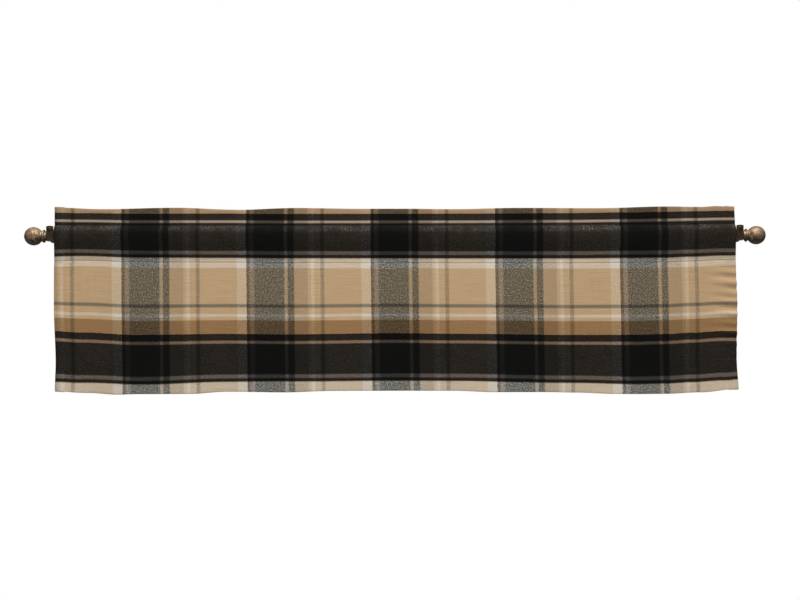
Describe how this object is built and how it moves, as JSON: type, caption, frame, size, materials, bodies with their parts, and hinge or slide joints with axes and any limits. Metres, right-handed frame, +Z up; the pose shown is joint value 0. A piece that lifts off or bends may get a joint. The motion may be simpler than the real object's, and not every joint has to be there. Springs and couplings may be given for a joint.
{
  "type": "window valance on curtain rod",
  "caption": "Flat plaid window valance with a standing header and a rod pocket, hung on a round rod with ball finials in J-shaped wall brackets.",
  "frame": {"origin": "on the wall plane, midway between the two brackets, at the height of the rod's axis", "axes": "+X along the rod to the right as seen from the room, +Y into the wall, +Z up"},
  "size_m": [1.6574, 0.0846, 0.4208],
  "materials": {
    "cloth": "brushed woven check in tan, cream, rust, charcoal and black",
    "antique_brass": "mottled antique brass, satin",
    "dark_bronze": "dark bronze paint, satin"
  },
  "bodies": {
    "root": {"valance_cloth": "cloth", "rod": "dark_bronze", "finial_left": "antique_brass", "finial_right": "antique_brass", "cradle_left": "dark_bronze", "cradle_right": "dark_bronze", "keeper_screw_left": "dark_bronze", "keeper_screw_right": "dark_bronze", "arm_left": "dark_bronze", "arm_right": "dark_bronze", "wall_plate_left": "dark_bronze", "wall_plate_right": "dark_bronze"}
  },
  "joints": []
}
